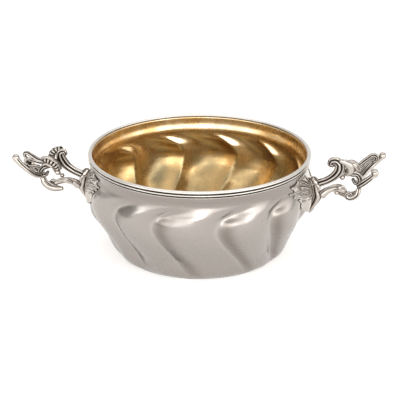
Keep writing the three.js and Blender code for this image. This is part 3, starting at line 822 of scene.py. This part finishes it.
# %% Bud and lower leaf
BUD_STEM = [(128.8, 1.4, 58), (132.8, 0.4, 61.2), (136.4, 0.1, 64.2), (139.4, 0.3, 67)]
BUD_CURL = [(138.4, 0.3, 66), (141.6, 0.4, 67), (143, 0.6, 69.4), (141.6, 0.8, 71.6),
            (139.2, 0.9, 71), (139.2, 1, 69), (140.8, 1.1, 68.9)]
LOWER_LEAF = [(129, 0.8, 55), (127.8, 1.2, 52), (124.6, 2.2, 49.4), (119.4, 4.4, 48.2),
              (112.2, 7.4, 49.2)]
LEAF_SCROLL = [(128.4, -1, 55.4), (127.4, -1.8, 51.2), (123.6, -2.2, 48.4), (119.8, -2.2, 48.6),
               (118.8, -2, 51), (121.2, -1.8, 52.4), (123, -1.8, 51)]


def draw_bud(bm, side):
    """A straight stem that ends in a bud inside a curl."""
    stem(bm, BUD_STEM, [3, 3.1, 2.9, 2.6], [2.6, 2.8, 2.5, 2.2], rings=60, around=36,
         grooves=CHANNELS)
    ball(bm, (141, -0.7, 69.6), 2.4)
    stem(bm, BUD_CURL, [2.2, 2.5, 2.5, 2.4, 2.1, 1.7], [1.5, 1.5, 1.4, 1.3, 1.1, 0.9],
         rings=60, around=20)


def draw_lower_leaf(bm, side):
    """A leaf that folds back toward the bowl, with a scroll behind it."""
    stem(bm, LOWER_LEAF, [2.4, 3, 3.2, 2.8, 1.8], [2.2, 2.9, 3.1, 2.8, 1.9], rings=90, around=40,
         grooves=[(0.8, 0.22, 0.24)])
    stem(bm, LEAF_SCROLL, [1.8, 2.3, 2.4, 2.4, 2.3, 2, 1.6], [1.8, 2.3, 2.3, 2.1, 1.8, 1.6, 1.3],
         rings=80, around=32, grooves=[(math.pi - 0.1, 0.3, 0.28)])


both_sides("bud_stem", draw_bud)
both_sides("lower_leaf", draw_lower_leaf)

# %% [markdown]
# ## Painted shade in the recesses
# From each point of a casting a few rays look outward. Where most of them meet metal within
# a few millimetres, the place is a recess, and its colour is painted dark as shade and oxide.
# The leaf plates lie open on the wall and get a little over half of it.

# %% Recess of the castings
LOOKS = 16
GOLDEN_ANGLE = 2.4
LOOK_REACH = 0.004
OFF_SURFACE = 0.00008
PLATE_SHADE = 0.55


def look(k):
    """Direction number k of a spiral that fills the half sphere evenly."""
    up = (k + 0.5) / LOOKS
    out = math.sqrt(1 - up**2)
    return Vector((math.cos(GOLDEN_ANGLE * k) * out, math.sin(GOLDEN_ANGLE * k) * out, up))


def search_tree(pieces):
    """A search tree over the faces of several pieces, which all lie at the origin."""
    points, faces = [], []
    for piece in pieces:
        start = len(points)
        points += [point.co.copy() for point in piece.data.vertices]
        faces += [[start + i for i in face.vertices] for face in piece.data.polygons]
    return BVHTree.FromPolygons(points, faces)


looks = [look(k) for k in range(LOOKS)]
for side in ("right", "left"):
    group = [piece for piece in castings if piece.name.endswith(side)]
    near = search_tree(group + [sheet])
    for piece in group:
        strength = PLATE_SHADE if "leaf_plate" in piece.name else 1
        for point, value in zip(piece.data.vertices, piece.data.attributes["recess"].data):
            turn = point.normal.to_track_quat("Z", "Y")
            origin = point.co + point.normal * OFF_SURFACE
            hits = sum(1 for way in looks if near.ray_cast(origin, turn @ way, LOOK_REACH)[0])
            # The more rays meet metal, the darker the place is painted: painted shade.
            shade = hits / LOOKS * strength
            value.value = 1 - (1 - value.value) * (1 - shade)
print("recess worked out on", len(castings), "castings")

# %% [markdown]
# ## Table
# The object stands on plain white paper. The paper glows faintly to the camera and in
# reflections, so that it shows white while the lamps stay at a level that suits the metal.

# %% Table
TABLE_GLOW = 0.5
table_mesh = bpy.data.meshes.new("table")
flat = bmesh.new()
bmesh.ops.create_grid(flat, x_segments=1, y_segments=1, size=6)
flat.to_mesh(table_mesh)
flat.free()
table = bpy.data.objects.new("table", table_mesh)
bpy.context.scene.collection.objects.link(table)
paper, tree, shader = new_material("white_paper_table", metallic=0)
shader.inputs["Roughness"].default_value = 0.9
shader.inputs["Specular IOR Level"].default_value = 0.1
shader.inputs["Base Color"].default_value = linear("#DDDBD9")
shader.inputs["Emission Color"].default_value = (1, 1, 1, 1)
ray = add(tree, "ShaderNodeLightPath")
seen = add(tree, "ShaderNodeMath", [(0, ray.outputs["Is Camera Ray"]),
                                    (1, ray.outputs["Is Glossy Ray"])], operation="MAXIMUM")
seen = add(tree, "ShaderNodeMath", [(0, seen.outputs[0]),
                                    (1, ray.outputs["Is Transmission Ray"])], operation="MAXIMUM")
glow = add(tree, "ShaderNodeMath", [(0, seen.outputs[0]), (1, TABLE_GLOW)], operation="MULTIPLY")
tree.links.new(glow.outputs[0], shader.inputs["Emission Strength"])
table_mesh.materials.append(paper)
print("table laid")

# %% [markdown]
# ## Lamps
# Four soft boxes face the bowl. Three small ones stand in front and to both sides, a third of
# a metre up, and put short soft highlights on the lobes. A large weak one above and a little
# behind lights the inside.

# %% Soft boxes
BOWL_MIDDLE = Vector((0, 0, 0.04))


def soft_box(name, place, size, power):
    """A square lamp that faces the bowl."""
    lamp = bpy.data.lights.new(name, "AREA")
    lamp.size = size
    lamp.energy = power
    box = bpy.data.objects.new(name, lamp)
    box.location = place
    box.rotation_mode = "QUATERNION"
    box.rotation_quaternion = (Vector(place) - BOWL_MIDDLE).to_track_quat("Z", "Y")
    bpy.context.scene.collection.objects.link(box)


soft_box("front_box", (0.15, -1.1, 0.36), 0.35, 1)
soft_box("left_box", (-0.95, -0.6, 0.36), 0.35, 0.8)
soft_box("right_box", (0.85, -0.75, 0.36), 0.35, 0.8)
soft_box("back_box", (0.1, 0.5, 1.2), 1.2, 2)
print("four soft boxes face the bowl")

# %% [markdown]
# ## The room
# Silver has no colour of its own to speak of and shows the room. So the room has what a
# studio has: a band of bright windows low in front, a pale backdrop behind and soft light
# overhead, and it is dimmer between them. Each is a ramp on the direction one looks in.

# %% Windows in front
WINDOW_LIGHT = 2.3
WINDOW_BAND = ((0.08, 0.5), (0.2, 1), (0.4, 0.95), (0.55, 0.1))
room = bpy.data.worlds.new("studio_room")
bpy.context.scene.world = room
room.use_nodes = True
tree = room.node_tree
way = add(tree, "ShaderNodeTexCoord").outputs["Generated"]
parts = add(tree, "ShaderNodeSeparateXYZ", [(0, way)])
window = add(tree, "ShaderNodeValToRGB", [("Fac", parts.outputs["Z"])])
for where, grey in WINDOW_BAND:
    window.color_ramp.elements.new(where).color = (grey, grey, grey, 1)
window.color_ramp.elements[0].color = (0.25, 0.25, 0.25, 1)
window.color_ramp.elements[-1].color = (0, 0, 0, 1)
toward = add(tree, "ShaderNodeMath", [(0, parts.outputs["X"]), (1, -0.35),
                                      (2, parts.outputs["Y"])], operation="MULTIPLY_ADD")
front = add(tree, "ShaderNodeMapRange", [("Value", toward.outputs[0]), ("From Min", 0.05),
                                         ("From Max", -0.6)], interpolation_type="SMOOTHSTEP")
bright = add(tree, "ShaderNodeMath", [(0, window.outputs["Color"]), (1, front.outputs[0])],
             operation="MULTIPLY")
print("the windows have", len(window.color_ramp.elements), "bands")

# %% Backdrop and light overhead
backdrop = add(tree, "ShaderNodeMapRange", [("Value", parts.outputs["Y"]), ("From Min", 0.1),
                                            ("From Max", 0.6), ("To Min", 0.6),
                                            ("To Max", 0.9)])
overhead = add(tree, "ShaderNodeMapRange", [("Value", parts.outputs["Z"]), ("From Min", 0.65),
                                            ("From Max", 1), ("To Min", 0), ("To Max", 0.7)])
around = add(tree, "ShaderNodeMath", [(0, backdrop.outputs[0]), (1, overhead.outputs[0])],
             operation="ADD")
strength = add(tree, "ShaderNodeMath", [(0, bright.outputs[0]), (1, WINDOW_LIGHT),
                                        (2, around.outputs[0])], operation="MULTIPLY_ADD")
back = tree.nodes["Background"]
tree.links.new(strength.outputs[0], back.inputs["Strength"])
back.inputs["Color"].default_value = linear("#FFFEFC")
bpy.context.scene.view_settings.view_transform = "Standard"
print("room lit")
